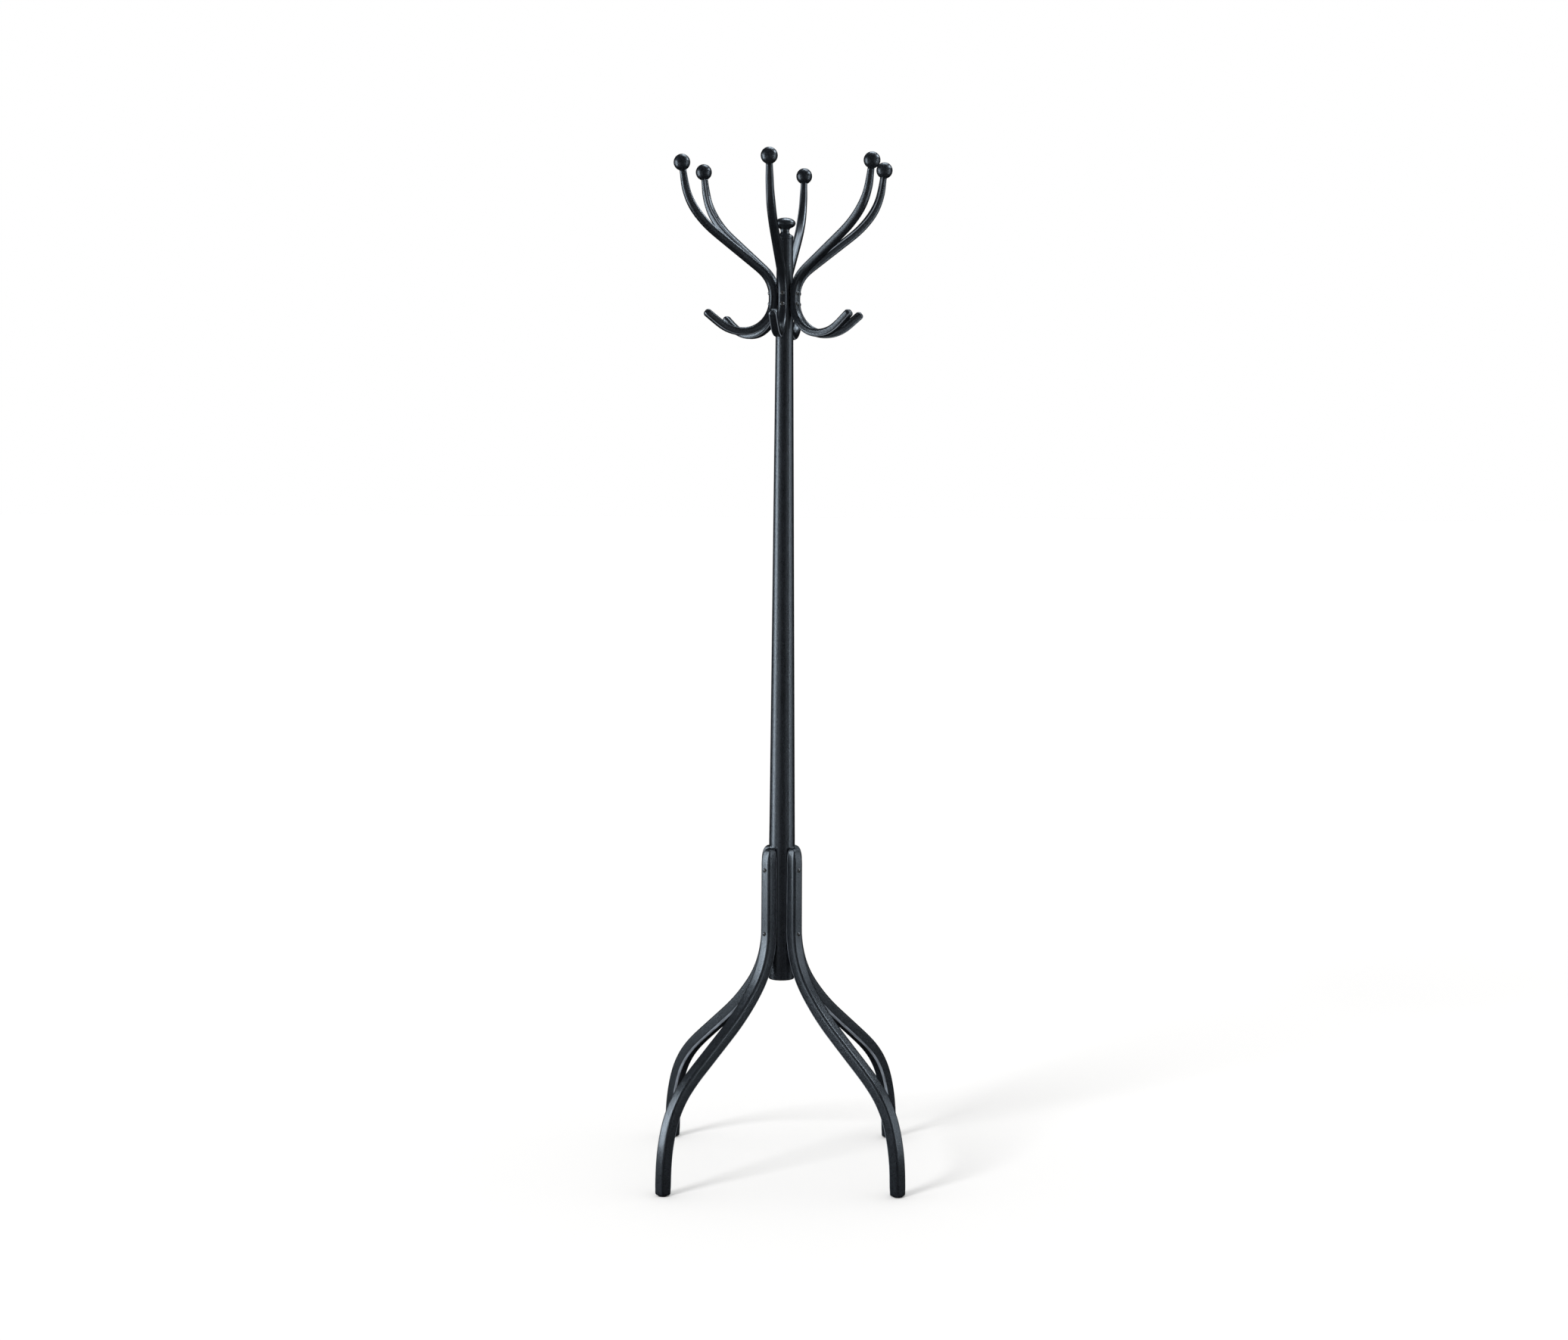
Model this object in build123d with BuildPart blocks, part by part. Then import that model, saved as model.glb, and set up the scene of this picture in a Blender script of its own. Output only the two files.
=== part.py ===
"""Bentwood coat stand: a turned post on four bent legs, with six double hooks and a knob.

Millimetres, +Z up. The origin is on the floor, on the axis of the post.
Angles are in degrees, counted from +X towards +Y.
"""

import os
from math import cos, radians, sin

from build123d import *

os.makedirs("parts", exist_ok=True)

# Heights above the floor
glide_thickness = 1.5
post_bottom = 355.0
post_top = 1719.0
leg_top = 603.0

# Post: straight where the legs are fixed, tapered above
post_foot_radius = 23.9
post_top_radius = 14.9
taper_start = 616.0
post_edge_rounding = 2.0

# Legs: one bent rod of rounded square section each, from the post to the floor
leg_angles = [45, 135, 225, 315]
leg_size = 23.0
leg_corner = 4.4
leg_end_rounding = 4.2
leg_foot_rounding = 3.5
leg_on_post = 33.2
leg_foot_reach = 298.6
leg_cut_off = 6.0
leg_corners = [(leg_on_post, 387), (101, 302), (229, 201), (273, 158), (296, 79.5)]
leg_bends = [170, 420, 345, 160, 305]

# Leg seats: flats on the post that the inner faces of the legs lie on
leg_seat = leg_on_post - leg_size / 2
leg_seat_bottom = 413.0
leg_seat_top = leg_top + 1.5
leg_seat_width = 30.0

# Hooks: one bent rod each, from the coat hook, along the post and out to the ball
hook_angles = [-98.2, -38.5, 21.5, 79.5, 140.5, 199.5]
hook_width = 16.0
hook_thickness = 14.8
hook_corner = 4.5
hook_tip_rounding = 4.3
hook_on_post = 21.7
bowl_lows = [1546.0, 1547.5, 1548.0, 1546.0, 1546.5, 1550.5]
bowl_reach = 105.5
ball_reach = 196.5
ball_height = 1850.0
hook_tip = (153, 1587.5)
hook_tip_cuts = [6.0, 3.0, 1.0, 1.0, 12.0, 1.5]
arm_corners = [(hook_on_post, 1645), (151.5, 1741.5), (187, 1785.5)]
hook_bends = [67, 57, 60, 190, 114]

# Hook seats: shallow flats on the post, one behind each hook
hook_seat = hook_on_post - hook_thickness / 2
hook_seat_bottom = 1585.0
hook_seat_top = 1629.0
hook_seat_width = 16.0

# Balls on the ends of the hat arms, each with a flat and a blind bore for the arm's tenon
ball_radius = 15.0
ball_flat = 13.6
tenon_radius = 5.0
tenon_length = 18.0
neck_at_ball = 6.2
neck_at_arm = 9.0
neck_length = 27.0
glue_gap = 0.05

# Finial: collar, neck and knob in one turning, with a tenon in the top of the post
knob_centre = 1747.2
knob_radius = 19.5
knob_half_height = 10.4
knob_join_angle = -54
neck_radius = 7.9
neck_height = 1732.8
collar_radius = 15.7
collar_widest = 1721.7
collar_top = 1727.5
finial_tenon_radius = 6.0
finial_tenon_length = 35.0

# Round-head wood screws
head_radius = 4.2
head_height = 2.9
shank_radius = 2.0
core_radius = 1.5
shank_gap = 0.15
slot_width = 1.1
slot_depth = 1.2
hook_screw_heights = [1601.0, 1620.5]
hook_screw_seat = 29.2
hook_screw_tip = 6.5
leg_screw_heights = [444.0, 563.0]
leg_screw_seat = leg_on_post + leg_size / 2 - 0.1
leg_screw_tip = 7.0
point_length = 4.0
shank_step = 0.5
spot_gap = 0.3

# Glides: nailed discs under the feet
glide_radius = 8.5
glide_edge = 0.5
nail_radius = 1.2
nail_length = 14.0


def outward(angle):
    """Unit vector from the post's axis towards the given angle."""
    return Vector(cos(radians(angle)), sin(radians(angle)), 0)


def side_plane(angle):
    """Upright plane through the axis: local x is the reach, local y the height."""
    return Plane(origin=(0, 0, 0), x_dir=outward(angle), z_dir=outward(angle - 90))


def face_plane(angle, reach, height):
    """Upright plane that faces outward: local x runs sideways, local y runs up."""
    centre = outward(angle) * reach + Vector(0, 0, height)
    return Plane(origin=centre, x_dir=outward(angle + 90), z_dir=outward(angle))


def section_plane(line, place, angle):
    """Plane across a bent rod, with local x square to the plane of its bend."""
    return Plane(origin=line @ place, x_dir=outward(angle - 90), z_dir=line % place)


def bend_line(angle, points, bends):
    """Centre line of a rod that is bent in the upright plane at the given angle."""
    with BuildLine(side_plane(angle)) as bend:
        FilletPolyline(*points, radius=bends)
    return bend.wires()[0]


def hook_points(bowl_low, tip_cut):
    """Corners of a hook's centre line, from its tip to the centre of its ball."""
    tip, bowl = Vector(*hook_tip), Vector(bowl_reach, bowl_low)
    tip += (bowl - tip).normalized() * tip_cut
    return [(tip.X, tip.Y), (bowl_reach, bowl_low), (hook_on_post, bowl_low)] + arm_corners + [
        (ball_reach, ball_height)
    ]


leg_points = [(leg_on_post, leg_top)] + leg_corners + [(leg_foot_reach, -leg_cut_off)]


# Post
with BuildPart() as post:
    with BuildSketch(Plane.XZ):
        with BuildLine():
            Polyline(
                (0, post_bottom),
                (post_foot_radius, post_bottom),
                (post_foot_radius, taper_start),
                (post_top_radius, post_top),
                (0, post_top),
                close=True,
            )
        make_face()
    revolve(axis=Axis.Z)
    fillet(post.edges().filter_by(GeomType.CIRCLE).sort_by(Axis.Z)[0], post_edge_rounding)
    # bore for the tenon of the finial
    with BuildSketch(Plane.XY.offset(post_top)):
        Circle(finial_tenon_radius + glue_gap)
    extrude(amount=-(finial_tenon_length + 2), mode=Mode.SUBTRACT)
    # flats behind the legs, and pilot holes for their screws
    for angle in leg_angles:
        with BuildSketch(face_plane(angle, leg_seat, (leg_seat_bottom + leg_seat_top) / 2)):
            Rectangle(leg_seat_width, leg_seat_top - leg_seat_bottom)
        extrude(amount=post_foot_radius, mode=Mode.SUBTRACT)
        for height in leg_screw_heights:
            with BuildSketch(face_plane(angle, leg_screw_tip - 1, height)):
                Circle(core_radius + shank_gap)
            extrude(amount=post_foot_radius, mode=Mode.SUBTRACT)
    # flats behind the hooks, and pilot holes for their screws
    for angle in hook_angles:
        with BuildSketch(face_plane(angle, hook_seat, (hook_seat_bottom + hook_seat_top) / 2)):
            Rectangle(hook_seat_width, hook_seat_top - hook_seat_bottom)
        extrude(amount=post_top_radius, mode=Mode.SUBTRACT)
        for height in hook_screw_heights:
            with BuildSketch(face_plane(angle, hook_screw_tip - 1, height)):
                Circle(core_radius + shank_gap)
            extrude(amount=post_top_radius, mode=Mode.SUBTRACT)
post.part.label = "post"
export_step(post.part, "parts/post.step")


# Finial
with BuildPart() as finial:
    with BuildSketch(Plane.XZ):
        with BuildLine():
            # the knob is an oblate ellipsoid, from its join with the neck to its top
            knob = Spline(
                *[
                    (knob_radius * cos(radians(turn)), knob_centre + knob_half_height * sin(radians(turn)))
                    for turn in range(knob_join_angle, 91, 16)
                ]
            )
            Polyline(
                knob @ 1,
                (0, post_top - finial_tenon_length),
                (finial_tenon_radius, post_top - finial_tenon_length),
                (finial_tenon_radius, post_top),
                (collar_radius - 1, post_top),
            )
            collar = ThreePointArc(
                (collar_radius - 1, post_top),
                (collar_radius, collar_widest),
                (collar_radius - 2.5, collar_top - 1.5),
            )
            neck = Spline(collar @ 1, (neck_radius, neck_height), tangents=[(-1, 0.4), (0, 1)])
            Spline(neck @ 1, knob @ 0, tangents=[(0, 1), knob % 0])
        make_face()
    revolve(axis=Axis.Z)
finial.part.label = "finial"
export_step(finial.part, "parts/finial.step")


# Legs, each with a glide under its foot
for number, angle in enumerate(leg_angles, 1):
    leg_line = bend_line(angle, leg_points, leg_bends)
    with BuildPart() as leg:
        with BuildSketch(section_plane(leg_line, 0, angle)):
            RectangleRounded(leg_size, leg_size, leg_corner)
        sweep(path=leg_line)
        # the foot is cut level, at the top of the glide
        split(bisect_by=Plane.XY.offset(glide_thickness), keep=Keep.TOP)
        fillet(leg.faces().sort_by(Axis.Z)[-1].edges(), leg_end_rounding)
        fillet(leg.faces().sort_by(Axis.Z)[0].edges(), leg_foot_rounding)
        for height in leg_screw_heights:
            with BuildSketch(face_plane(angle, 0, height)):
                Circle(shank_radius + shank_gap)
            extrude(amount=leg_screw_seat, mode=Mode.SUBTRACT)
            with BuildSketch(face_plane(angle, leg_screw_seat, height)):
                Circle(head_radius + spot_gap)
            extrude(amount=head_height, mode=Mode.SUBTRACT)
        with BuildSketch(Plane(origin=outward(angle) * leg_foot_reach)):
            Circle(nail_radius + glue_gap)
        extrude(amount=nail_length + 1, mode=Mode.SUBTRACT)
    leg.part.label = f"leg_{number}"
    export_step(leg.part, f"parts/leg_{number}.step")

    with BuildPart() as glide:
        with BuildSketch(Plane(origin=outward(angle) * leg_foot_reach)):
            Circle(glide_radius)
        extrude(amount=glide_thickness)
        chamfer(glide.edges().filter_by(GeomType.CIRCLE).sort_by(Axis.Z)[0], glide_edge)
        with BuildSketch(Plane(origin=outward(angle) * leg_foot_reach)):
            Circle(nail_radius)
        extrude(amount=nail_length)
    glide.part.label = f"glide_{number}"
    export_step(glide.part, f"parts/glide_{number}.step")


# Hooks, each with a ball on its upper end
for number, (angle, bowl_low, tip_cut) in enumerate(zip(hook_angles, bowl_lows, hook_tip_cuts), 1):
    hook_line = bend_line(angle, hook_points(bowl_low, tip_cut), hook_bends)
    ball_plane = section_plane(hook_line, 1, angle)
    shoulder = ball_plane.offset(-ball_flat)
    with BuildPart() as hook:
        with BuildSketch(section_plane(hook_line, 0, angle)):
            RectangleRounded(hook_width, hook_thickness, hook_corner)
        sweep(path=hook_line)
        split(bisect_by=shoulder, keep=Keep.BOTTOM)
        # the arm is turned down to a round neck below the ball
        with BuildSketch(Plane(origin=shoulder.origin, x_dir=shoulder.z_dir, z_dir=side_plane(angle).z_dir)):
            Polygon(
                (0, neck_at_ball),
                (0, 2 * neck_at_arm),
                (-neck_length, 2 * neck_at_arm),
                (-neck_length, neck_at_arm),
                align=None,
            )
        revolve(axis=Axis(shoulder.origin, shoulder.z_dir), mode=Mode.SUBTRACT)
        fillet(hook.faces().sort_by_distance(hook_line @ 0)[0].edges(), hook_tip_rounding)
        with BuildSketch(shoulder):
            Circle(tenon_radius)
        extrude(amount=tenon_length)
        for height in hook_screw_heights:
            with BuildSketch(face_plane(angle, 0, height)):
                Circle(shank_radius + shank_gap)
            extrude(amount=hook_screw_seat, mode=Mode.SUBTRACT)
            with BuildSketch(face_plane(angle, hook_screw_seat, height)):
                Circle(head_radius + spot_gap)
            extrude(amount=head_height, mode=Mode.SUBTRACT)
    hook.part.label = f"hook_{number}"
    export_step(hook.part, f"parts/hook_{number}.step")

    with BuildPart() as ball:
        with Locations(ball_plane.location):
            Sphere(ball_radius)
        split(bisect_by=shoulder, keep=Keep.TOP)
        with BuildSketch(shoulder):
            Circle(tenon_radius + glue_gap)
        extrude(amount=tenon_length + 1, mode=Mode.SUBTRACT)
    ball.part.label = f"ball_{number}"
    export_step(ball.part, f"parts/ball_{number}.step")


# Screws of the hooks and of the legs: angles, heights, seat of the head, tip, inner face of the rod
screw_sets = {
    "hook_screws": (hook_angles, hook_screw_heights, hook_screw_seat, hook_screw_tip, hook_seat),
    "leg_screws": (leg_angles, leg_screw_heights, leg_screw_seat, leg_screw_tip, leg_seat),
}
for name, (angles, heights, seat, tip, joint) in screw_sets.items():
    with BuildPart() as screws:
        for angle in angles:
            for height in heights:
                with BuildSketch(side_plane(angle)):
                    with BuildLine():
                        Polyline(
                            (seat + head_height, height),
                            (tip, height),
                            (tip + point_length, height + core_radius),
                            (joint + shank_step, height + core_radius),
                            (joint + shank_step, height + shank_radius),
                            (seat, height + shank_radius),
                            (seat, height + head_radius),
                        )
                        ThreePointArc(
                            (seat, height + head_radius),
                            (seat + head_height * 0.8, height + head_radius * 0.6),
                            (seat + head_height, height),
                        )
                    make_face()
                revolve(axis=Axis((0, 0, height), outward(angle)))
                with BuildSketch(face_plane(angle, seat + head_height - slot_depth, height)):
                    Rectangle(slot_width, 3 * head_radius, rotation=angle)
                extrude(amount=slot_depth * 2, mode=Mode.SUBTRACT)
    screws.part.label = name
    export_step(screws.part, f"parts/{name}.step")
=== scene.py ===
"""Looks of the black bentwood coat stand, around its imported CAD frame. Metres, +Z up."""

import math

import bmesh
import bpy
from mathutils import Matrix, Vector


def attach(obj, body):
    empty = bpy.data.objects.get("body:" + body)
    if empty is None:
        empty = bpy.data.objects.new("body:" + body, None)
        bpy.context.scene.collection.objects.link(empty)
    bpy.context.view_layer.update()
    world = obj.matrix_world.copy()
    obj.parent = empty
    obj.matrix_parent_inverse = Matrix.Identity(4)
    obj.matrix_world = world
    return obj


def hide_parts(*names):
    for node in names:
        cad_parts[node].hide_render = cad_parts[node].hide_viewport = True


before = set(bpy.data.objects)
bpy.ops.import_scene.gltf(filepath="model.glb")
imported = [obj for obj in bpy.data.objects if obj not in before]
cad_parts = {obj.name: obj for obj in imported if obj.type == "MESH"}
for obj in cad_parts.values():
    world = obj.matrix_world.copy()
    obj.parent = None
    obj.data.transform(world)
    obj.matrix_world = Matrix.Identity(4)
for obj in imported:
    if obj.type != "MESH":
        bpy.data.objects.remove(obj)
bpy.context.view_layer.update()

# ---------------------------------------------------------------- driving dimensions

MM = 0.001

HOOK_ANGLES = [-98.2, -38.5, 21.5, 79.5, 140.5, 199.5]
LEG_ANGLES = [45, 135, 225, 315]

# Centre lines of the bent rods: corner points as (reach, height), and the bend at each corner
HOOK_TIP = (153 * MM, 1587.5 * MM)
HOOK_TIP_CUTS = [6 * MM, 3 * MM, 1 * MM, 1 * MM, 12 * MM, 1.5 * MM]
BOWL_REACH = 105.5 * MM
BOWL_LOWS = [1546 * MM, 1547.5 * MM, 1548 * MM, 1546 * MM, 1546.5 * MM, 1550.5 * MM]
HOOK_ON_POST = 21.7 * MM
ARM_POINTS = [
    (HOOK_ON_POST, 1645 * MM),
    (151.5 * MM, 1741.5 * MM),
    (187 * MM, 1785.5 * MM),
    (196.5 * MM, 1850 * MM),
]
HOOK_BENDS = [67 * MM, 57 * MM, 60 * MM, 190 * MM, 114 * MM]

LEG_ON_POST = 33.2 * MM
LEG_FOOT = 1.2 * MM
LEG_POINTS = [
    (LEG_ON_POST, 603 * MM),
    (LEG_ON_POST, 387 * MM),
    (101 * MM, 302 * MM),
    (229 * MM, 201 * MM),
    (273 * MM, 158 * MM),
    (296 * MM, 79.5 * MM),
    (298.3 * MM, LEG_FOOT),
]
LEG_BENDS = [170 * MM, 420 * MM, 345 * MM, 160 * MM, 305 * MM]

# Sections along a rod: share of its length, half width, half thickness, corner rounding
HOOK_SECTIONS = [
    (0.00, 8.0 * MM, 7.3 * MM, 5.6 * MM),
    (0.10, 8.1 * MM, 7.4 * MM, 5.4 * MM),
    (0.30, 8.0 * MM, 7.4 * MM, 5.2 * MM),
    (0.60, 8.1 * MM, 7.4 * MM, 5.4 * MM),
    (0.84, 8.0 * MM, 7.4 * MM, 5.6 * MM),
    (0.93, 7.2 * MM, 7.0 * MM, 6.0 * MM),
    (1.00, 6.3 * MM, 6.3 * MM, 6.3 * MM),
]
LEG_SECTIONS = [
    (0.00, 11.4 * MM, 11.4 * MM, 5.2 * MM),
    (0.30, 11.5 * MM, 11.5 * MM, 4.8 * MM),
    (0.97, 11.5 * MM, 11.5 * MM, 4.8 * MM),
    (1.00, 11.3 * MM, 11.3 * MM, 5.4 * MM),
]
BALL_FLAT = 13.6 * MM
INTO_BALL = 0.3 * MM


# ---------------------------------------------------------------- rods

def filleted(points, bends, step=1.5 * MM):
    """Points along a chain of straight runs whose corners are rounded to the given radii."""
    corners = [Vector(p) for p in points]
    line = [corners[0]]
    for before, corner, after, radius in zip(corners, corners[1:], corners[2:], bends):
        back = (before - corner).normalized()
        ahead = (after - corner).normalized()
        half = back.angle(ahead) / 2
        start = corner + back * (radius / math.tan(half))
        centre = corner + (back + ahead).normalized() * (radius / math.sin(half))
        turn = math.pi - 2 * half
        side = 1 if back.cross(ahead) < 0 else -1
        count = max(2, round(radius * turn / step))
        runs = max(1, round((start - line[-1]).length / step))
        line += [line[-1].lerp(start, i / runs) for i in range(1, runs + 1)]
        arm = start - centre
        for i in range(1, count + 1):
            angle = side * turn * i / count
            line.append(centre + Vector((
                arm.x * math.cos(angle) - arm.y * math.sin(angle),
                arm.x * math.sin(angle) + arm.y * math.cos(angle),
            )))
    runs = max(1, round((corners[-1] - line[-1]).length / step))
    line += [line[-1].lerp(corners[-1], i / runs) for i in range(1, runs + 1)]
    return line


def respaced(line, step):
    """The same line with its points evenly spaced."""
    reach = [0.0]
    for a, b in zip(line, line[1:]):
        reach.append(reach[-1] + (b - a).length)
    count = round(reach[-1] / step)
    result = []
    at = 0
    for i in range(count + 1):
        goal = reach[-1] * i / count
        while at < len(line) - 2 and reach[at + 1] < goal:
            at += 1
        span = max(reach[at + 1] - reach[at], 1e-9)
        result.append(line[at].lerp(line[at + 1], (goal - reach[at]) / span))
    return result


def trimmed(line, length):
    """The line without the given length at its end."""
    line = list(line)
    while length > (line[-1] - line[-2]).length:
        length -= (line[-1] - line[-2]).length
        line.pop()
    line[-1] = line[-1] + (line[-2] - line[-1]).normalized() * length
    return line


def eased(line, reach=4):
    """The line with its curvature blended over a few points, ends kept, as steamed wood takes a bend."""
    last = len(line) - 1
    result = []
    for i in range(len(line)):
        near = min(reach, i, last - i)
        window = line[i - near:i + near + 1]
        result.append(sum(window, Vector((0, 0))) / len(window))
    return result


def section_at(sections, share):
    """Half width, half thickness and corner of a rod at a share of its length."""
    for low, high in zip(sections, sections[1:]):
        if share <= high[0]:
            t = (share - low[0]) / (high[0] - low[0])
            t = t * t * (3 - 2 * t)
            return [a + (b - a) * t for a, b in zip(low[1:], high[1:])]
    return list(sections[-1][1:])


CORNER_STEPS = 6
SIDE_STEPS = 4
DOME_STEPS = 10
LEAST_CORNER = 0.25

# Corners that get a painted highlight (a lighter line of colour along the arris standing in for its
# reflection), and a power that narrows the line: 0 and 3 are the corners on the outside of a leg and the
# top of a hat arm, 1 and 2 face the post or lie under the arm
HOOK_PAINTED_HIGHLIGHT = ((0, 3), 2.5)
LEG_PAINTED_HIGHLIGHT = ((1, 2), 0.12)


def ring(half_width, half_thickness, corner):
    """Outline of a rounded rectangle, as (thickness, width) offsets, starting mid-corner."""
    outline = []
    for quarter in range(4):
        sign_t = (1, -1, -1, 1)[quarter]
        sign_w = (1, 1, -1, -1)[quarter]
        for i in range(CORNER_STEPS + 1):
            angle = math.pi / 2 * (quarter + i / CORNER_STEPS)
            outline.append((
                sign_t * (half_thickness - corner) + corner * math.cos(angle),
                sign_w * (half_width - corner) + corner * math.sin(angle),
            ))
        following = (quarter + 1) % 4
        next_t = (1, -1, -1, 1)[following] * (half_thickness - corner)
        next_w = (1, 1, -1, -1)[following] * (half_width - corner)
        turned = math.pi / 2 * (quarter + 1)
        target = (next_t + corner * math.cos(turned), next_w + corner * math.sin(turned))
        for i in range(1, SIDE_STEPS):
            t = i / SIDE_STEPS
            outline.append(tuple(a + (b - a) * t for a, b in zip(outline[-i], target)))
    return outline


def rod(name, replaced, angle, points, bends, sections, start_dome, end_dome, end_trim, step, painted_highlight,
        material):
    """A bent rod as one closed mesh, with u round the rod and v along it, both in metres.

    A dome is its depth, how far the last ring is drawn in, and how far it leans to the rod's right.
    The corners with the painted highlight are quarters of the ring, with a power that narrows the painted
    highlight line.
    """
    line = eased(respaced(trimmed(filleted(points, bends), end_trim), step))
    outward = Vector((math.cos(math.radians(angle)), math.sin(math.radians(angle)), 0))
    sideways = Vector((-outward.y, outward.x, 0))
    rings = []
    count = len(line) - 1
    travelled = 0.0
    for i, at in enumerate(line):
        tangent = (line[min(i + 1, count)] - line[max(i - 1, 0)]).normalized()
        if i:
            travelled += (at - line[i - 1]).length
        rings.append((at, tangent, *section_at(sections, i / count), travelled))

    def dome(end, depth, inset_most, lean, sign):
        at, tangent, width, thickness, corner, place = end
        normal = Vector((-tangent.y, tangent.x))
        made = []
        for j in range(1, DOME_STEPS + 1):
            swing = math.pi / 2 * j / DOME_STEPS
            inset = inset_most * (1 - math.cos(swing))
            forward = sign * depth * math.sin(swing)
            made.append((
                at + tangent * forward - normal * inset * lean, tangent,
                width - inset, thickness - inset,
                max(corner - inset, LEAST_CORNER * min(width - inset, thickness - inset)),
                place + forward,
            ))
        return made

    if start_dome:
        cut = round(start_dome[0] / step)
        depth = (rings[cut][0] - rings[0][0]).length
        rings = list(reversed(dome(rings[cut], depth, *start_dome[1:], -1))) + rings[cut:]
    if end_dome:
        cut = round(end_dome[0] / step)
        depth = (rings[-1][0] - rings[-cut - 1][0]).length
        rings = rings[:-cut] + dome(rings[-cut - 1], depth, *end_dome[1:], 1)
    verts = []
    for at, tangent, width, thickness, corner, place in rings:
        normal = Vector((-tangent.y, tangent.x))
        for out, side in ring(width, thickness, corner):
            flat = at + normal * out
            verts.append(outward * flat.x + Vector((0, 0, flat.y)) + sideways * side)
    size = len(ring(1, 1, 0.5))
    faces = []
    for k in range(len(rings) - 1):
        for i in range(size):
            j = (i + 1) % size
            faces.append((k * size + i, k * size + j, (k + 1) * size + j, (k + 1) * size + i))
    faces.append(tuple(range(size)))
    faces.append(tuple(range((len(rings) - 1) * size, len(rings) * size)))
    mesh = bpy.data.meshes.new(name)
    mesh.from_pydata(verts, [], faces)
    around = [0.0]
    outline = ring(*rings[len(rings) // 2][2:5])
    for a, b in zip(outline, outline[1:] + outline[:1]):
        around.append(around[-1] + math.dist(a, b))
    uv = mesh.uv_layers.new(name="rod")
    for face in mesh.polygons:
        columns = {vertex % size for vertex in face.vertices}
        wraps = 0 in columns and size - 1 in columns
        for loop in face.loop_indices:
            vertex = mesh.loops[loop].vertex_index
            column = vertex % size
            u = around[size] if wraps and column == 0 else around[column]
            uv.data[loop].uv = (u, rings[vertex // size][5])
    # weight of the painted highlight along the chosen corners, strongest mid-corner
    arris_painted_highlight = mesh.attributes.new("arris_painted_highlight", "FLOAT", "POINT")
    highlight_quarters, narrowing = painted_highlight
    for index in range(len(verts)):
        quarter, step_round = divmod(index % size, CORNER_STEPS + SIDE_STEPS)
        if quarter in highlight_quarters and step_round < CORNER_STEPS:
            arris_painted_highlight.data[index].value = math.sin(math.pi * step_round / CORNER_STEPS) ** narrowing
    piece = bpy.data.objects.new(name, mesh)
    bpy.context.scene.collection.objects.link(piece)
    fix_normals(piece)
    piece.data.materials.append(material)
    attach(piece, "root")
    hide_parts(replaced)
    return piece


def fix_normals(piece):
    """Faces point outward and shade smooth."""
    work = bmesh.new()
    work.from_mesh(piece.data)
    bmesh.ops.recalc_face_normals(work, faces=work.faces)
    work.to_mesh(piece.data)
    work.free()
    for face in piece.data.polygons:
        face.use_smooth = True


# ---------------------------------------------------------------- materials

# Colour sockets of a Mix node
MIX_UNDER, MIX_OVER, MIX_RESULT = 6, 7, 2


def node(tree, kind, inputs=None, **settings):
    """A shader node with its settings and unlinked input values."""
    made = tree.nodes.new(kind)
    for key, value in settings.items():
        setattr(made, key, value)
    for key, value in (inputs or {}).items():
        made.inputs[key].default_value = value
    return made


def ramp(tree, source, stops):
    """A colour ramp over a 0..1 value. Stops are (place, grey or colour)."""
    made = tree.nodes.new("ShaderNodeValToRGB")
    elements = made.color_ramp.elements
    for index, (place, value) in enumerate(stops):
        element = elements[index] if index < 2 else elements.new(place)
        element.position = place
        colour = value if isinstance(value, tuple) else (value, value, value)
        element.color = (*colour, 1)
    tree.links.new(source, made.inputs["Fac"])
    return made.outputs["Color"]


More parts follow.
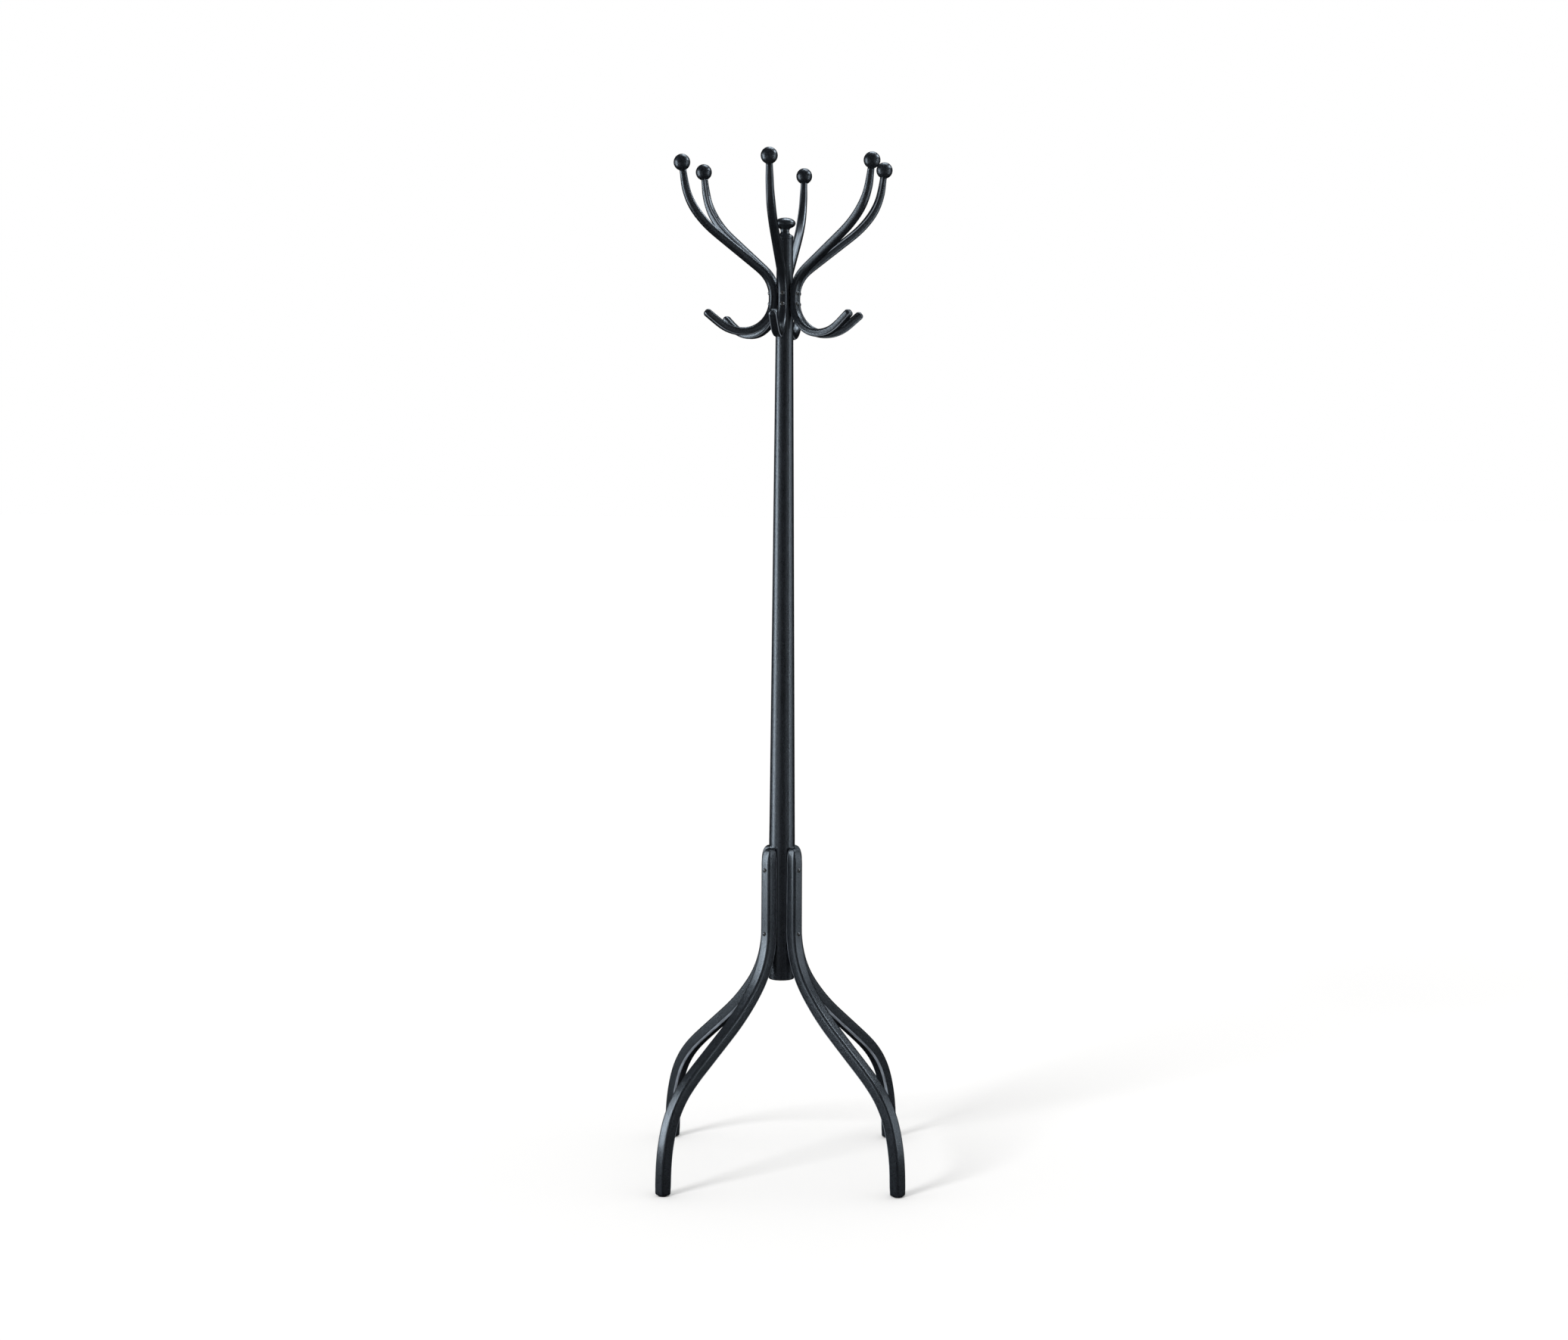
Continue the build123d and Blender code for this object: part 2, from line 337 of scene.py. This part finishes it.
def stained_beech(name, rod_uv, seed, grain=1.0, coat=0.35):
    """Beech under blue-black stain and satin lacquer: fine pores and flecks drawn out along the grain."""
    material = bpy.data.materials.new(name)
    material.use_nodes = True
    tree = material.node_tree
    tree.nodes.clear()
    link = tree.links.new
    coordinates = tree.nodes.new("ShaderNodeTexCoord")
    place = coordinates.outputs["UV" if rod_uv else "Object"]

    def noise(along, across, detail, offset):
        stretch = (across, along, 1) if rod_uv else (across, across, along)
        mapping = node(tree, "ShaderNodeMapping", {"Scale": stretch, "Location": (seed + offset,) * 3})
        link(place, mapping.inputs["Vector"])
        made = node(tree, "ShaderNodeTexNoise", {"Scale": 1.0, "Detail": detail, "Roughness": 0.6})
        link(mapping.outputs["Vector"], made.inputs["Vector"])
        return made.outputs["Fac"]

    def mixed(blend, share, under, over):
        made = node(tree, "ShaderNodeMix", data_type="RGBA", blend_type=blend)
        made.inputs["Factor"].default_value = share
        link(under, made.inputs[MIX_UNDER])
        link(over, made.inputs[MIX_OVER])
        return made.outputs[MIX_RESULT]

    streaks = noise(25, 380, 4, 0.0)
    pores = noise(330, 1200, 3, 3.1)
    patches = noise(12, 50, 2, 7.7)
    speckle = noise(560, 760, 2, 11.3)

    dark, light = (0.0028, 0.0036, 0.0050), (0.0078, 0.0100, 0.0140)
    stain = mixed("MIX", 0.45, ramp(tree, streaks, [(0.32, dark), (0.68, light)]),
                  ramp(tree, patches, [(0.35, dark), (0.68, light)]))
    flecks = ramp(tree, speckle, [(0.50, 0.0), (0.72, (0.0095, 0.0125, 0.0165))])
    stain = mixed("ADD", 1.0, stain, flecks)
    stain = mixed("MULTIPLY", 0.6, stain, ramp(tree, pores, [(0.38, 0.25), (0.5, 1.0)]))

    if rod_uv:
        # painted highlight: a lighter bluish colour along the chosen arrises, broken up by the streaks,
        # stands in for the reflection of the lights there
        arris_painted_highlight = node(tree, "ShaderNodeAttribute", attribute_name="arris_painted_highlight")
        painted_highlight = mixed("MULTIPLY", 1.0, ramp(tree, arris_painted_highlight.outputs["Fac"], [(0.72, 0.0), (0.97, 1.0)]),
                       ramp(tree, streaks, [(0.40, 0.45), (0.60, 1.0)]))
        painted_highlight_mix = node(tree, "ShaderNodeMix", data_type="RGBA")
        painted_highlight_mix.inputs[MIX_OVER].default_value = (0.210, 0.240, 0.280, 1)
        link(painted_highlight, painted_highlight_mix.inputs["Factor"])
        link(stain, painted_highlight_mix.inputs[MIX_UNDER])
        stain = painted_highlight_mix.outputs[MIX_RESULT]

    shader = node(tree, "ShaderNodeBsdfPrincipled", {
        "IOR": 1.5, "Specular IOR Level": 0.5, "Coat Weight": coat, "Coat Roughness": 0.18, "Coat IOR": 1.5,
    })
    link(stain, shader.inputs["Base Color"])
    link(ramp(tree, speckle, [(0.32, 0.25), (0.68, 0.44)]), shader.inputs["Roughness"])
    height = None
    for source, strength, distance in (
        (patches, 0.15, 0.0012), (speckle, 0.8, 0.00042), (pores, 0.5, 0.0003),
    ):
        bump = node(tree, "ShaderNodeBump", {"Strength": strength * grain, "Distance": distance})
        link(source, bump.inputs["Height"])
        if height is not None:
            link(height, bump.inputs["Normal"])
        height = bump.outputs["Normal"]
        if source is patches:
            link(height, shader.inputs["Coat Normal"])
    link(height, shader.inputs["Normal"])
    output = tree.nodes.new("ShaderNodeOutputMaterial")
    link(shader.outputs["BSDF"], output.inputs["Surface"])
    return material


def blackened_steel():
    """Glossy black screw heads with a mottled colour and roughness."""
    material = bpy.data.materials.new("blackened_steel")
    material.use_nodes = True
    tree = material.node_tree
    shader = tree.nodes["Principled BSDF"]
    coordinates = tree.nodes.new("ShaderNodeTexCoord")
    grime = node(tree, "ShaderNodeTexNoise", {"Scale": 900.0, "Detail": 3.0})
    tree.links.new(coordinates.outputs["Object"], grime.inputs["Vector"])
    colour = ramp(tree, grime.outputs["Fac"], [(0.3, 0.05), (0.75, 0.12)])
    tree.links.new(colour, shader.inputs["Base Color"])
    roughness = ramp(tree, grime.outputs["Fac"], [(0.3, 0.14), (0.75, 0.24)])
    tree.links.new(roughness, shader.inputs["Roughness"])
    shader.inputs["Metallic"].default_value = 0.7
    shader.inputs["Coat Weight"].default_value = 0.6
    shader.inputs["Coat Roughness"].default_value = 0.12
    return material


def glide_plastic():
    """Matt black plastic with a fine moulded grain."""
    material = bpy.data.materials.new("glide_plastic")
    material.use_nodes = True
    tree = material.node_tree
    shader = tree.nodes["Principled BSDF"]
    coordinates = tree.nodes.new("ShaderNodeTexCoord")
    grain = node(tree, "ShaderNodeTexNoise", {"Scale": 1500.0, "Detail": 2.0})
    tree.links.new(coordinates.outputs["Object"], grain.inputs["Vector"])
    colour = ramp(tree, grain.outputs["Fac"], [(0.3, 0.010), (0.7, 0.022)])
    tree.links.new(colour, shader.inputs["Base Color"])
    shader.inputs["Roughness"].default_value = 0.6
    bump = node(tree, "ShaderNodeBump", {"Strength": 0.3, "Distance": 0.0002})
    tree.links.new(grain.outputs["Fac"], bump.inputs["Height"])
    tree.links.new(bump.outputs["Normal"], shader.inputs["Normal"])
    return material


def white_floor():
    """Pale matt studio floor."""
    material = bpy.data.materials.new("white_floor")
    material.use_nodes = True
    shader = material.node_tree.nodes["Principled BSDF"]
    shader.inputs["Base Color"].default_value = (0.80, 0.798, 0.794, 1)
    shader.inputs["Roughness"].default_value = 1.0
    shader.inputs["Specular IOR Level"].default_value = 0.0
    return material


def dress(name, material):
    """Gives a CAD node its finish."""
    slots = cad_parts[name].data.materials
    slots.clear()
    slots.append(material)


# ---------------------------------------------------------------- the stand

for number, (angle, low, cut) in enumerate(zip(HOOK_ANGLES, BOWL_LOWS, HOOK_TIP_CUTS), 1):
    bowl = Vector((BOWL_REACH, low))
    tip = Vector(HOOK_TIP)
    tip += (bowl - tip).normalized() * cut
    rod(
        f"bent_hook_{number}", f"hook_{number}", angle,
        [tip, bowl, (HOOK_ON_POST, low), *ARM_POINTS], HOOK_BENDS, HOOK_SECTIONS,
        start_dome=(7.5 * MM, 6.4 * MM, 0), end_dome=None, end_trim=BALL_FLAT - INTO_BALL,
        step=3 * MM, painted_highlight=HOOK_PAINTED_HIGHLIGHT,
        material=stained_beech(f"bent_beech_hook_{number}", True, number * 1.7),
    )
for number, angle in enumerate(LEG_ANGLES, 1):
    rod(
        f"bent_leg_{number}", f"leg_{number}", angle, LEG_POINTS, LEG_BENDS, LEG_SECTIONS,
        start_dome=(28 * MM, 9.0 * MM, 0.4), end_dome=(5 * MM, 4.6 * MM, 0), end_trim=0,
        step=4 * MM, painted_highlight=LEG_PAINTED_HIGHLIGHT,
        material=stained_beech(f"bent_beech_leg_{number}", True, number * 2.3 + 20),
    )

dress("post", stained_beech("turned_beech_post", False, 41.0))
dress("finial", stained_beech("turned_beech_finial", False, 57.0, grain=0.3))
turned = stained_beech("turned_beech_ball", False, 63.0, grain=0.5, coat=0.1)
for number in range(1, len(HOOK_ANGLES) + 1):
    dress(f"ball_{number}", turned)
steel = blackened_steel()
dress("hook_screws", steel)
dress("leg_screws", steel)
plastic = glide_plastic()
for number in range(1, len(LEG_ANGLES) + 1):
    dress(f"glide_{number}", plastic)


# ---------------------------------------------------------------- stage, light and camera

def aimed(obj, place, target):
    """Puts a light or camera at a place, looking at a target."""
    obj.location = place
    obj.rotation_euler = (Vector(target) - Vector(place)).to_track_quat("-Z", "Y").to_euler()
    bpy.context.scene.collection.objects.link(obj)


def panel(name, azimuth, distance, height, width, tall, brightness, target_height=1.0):
    """A studio panel seen only in the gloss. Azimuth is in degrees from the front, + to the right."""
    light = bpy.data.lights.new(name, "AREA")
    light.shape = "RECTANGLE"
    light.size = width
    light.size_y = tall
    light.energy = brightness * math.pi * width * tall
    light.color = (0.74, 0.87, 1.0)
    obj = bpy.data.objects.new(name, light)
    obj.visible_camera = False
    obj.visible_diffuse = False
    turn = math.radians(azimuth)
    place = (distance * math.sin(turn), -distance * math.cos(turn), height)
    aimed(obj, place, (0, 0, target_height))


floor_mesh = bpy.data.meshes.new("floor")
FLOOR_HALF = 40
floor_corners = [(x * FLOOR_HALF, y * FLOOR_HALF, 0) for x, y in ((-1, -1), (1, -1), (1, 1), (-1, 1))]
floor_mesh.from_pydata(floor_corners, [], [(0, 1, 2, 3)])
floor = bpy.data.objects.new("floor", floor_mesh)
bpy.context.scene.collection.objects.link(floor)
floor_mesh.materials.append(white_floor())
floor.visible_glossy = False

world = bpy.data.worlds.new("studio")
bpy.context.scene.world = world
world.use_nodes = True
world.node_tree.nodes["Background"].inputs["Color"].default_value = (1, 1, 1, 1)
world.node_tree.nodes["Background"].inputs["Strength"].default_value = 1.0
world.cycles_visibility.glossy = False

# key light from the front left, low enough for long soft shadows
sun = bpy.data.lights.new("key", "SUN")
sun.energy = 1.7
sun.angle = math.radians(16)
key = bpy.data.objects.new("key", sun)
key.visible_glossy = False
aimed(key, (-3.0, -3.3, 2.7), (0, 0, 0))

# panels that the lacquer reflects: a dark front between two bright sides, and a soft top
panel("left", -84, 2.7, 1.3, 1.6, 2.5, 4.9)
panel("left_strip", -86, 2.4, 1.2, 0.22, 2.2, 14.0)
panel("front_left_low", -38, 2.8, 0.45, 1.3, 0.9, 1.2, 0.5)
panel("right", 88, 2.8, 1.2, 1.6, 2.5, 1.6)
panel("right_strip", 74, 2.5, 1.2, 0.18, 2.2, 12.0)
panel("front_right", 38, 2.9, 1.1, 0.8, 2.2, 0.7)
panel("upper_right", 103, 1.8, 3.1, 0.8, 0.7, 17.0, 1.5)
panel("overhead", 160, 1.0, 3.6, 1.2, 0.9, 9.0)

# camera at the photograph's height and tilt
CAMERA_DISTANCE = 5.055
CAMERA_HEIGHT = 1.364
CAMERA_TILT = math.radians(4.89)
CAMERA_ROLL = math.radians(0.28)
CAMERA_SIDE = 2.2 * MM
lens = bpy.data.cameras.new("camera")
lens.sensor_width = 36
lens.lens = 63.14
camera = bpy.data.objects.new("camera", lens)
ahead = Vector((0, math.cos(CAMERA_TILT), -math.sin(CAMERA_TILT)))
place = Vector((CAMERA_SIDE, -CAMERA_DISTANCE, CAMERA_HEIGHT))
aimed(camera, place, place + ahead)
camera.rotation_euler.rotate_axis("Z", CAMERA_ROLL)
bpy.context.scene.camera = camera
bpy.context.scene.view_settings.view_transform = "Standard"
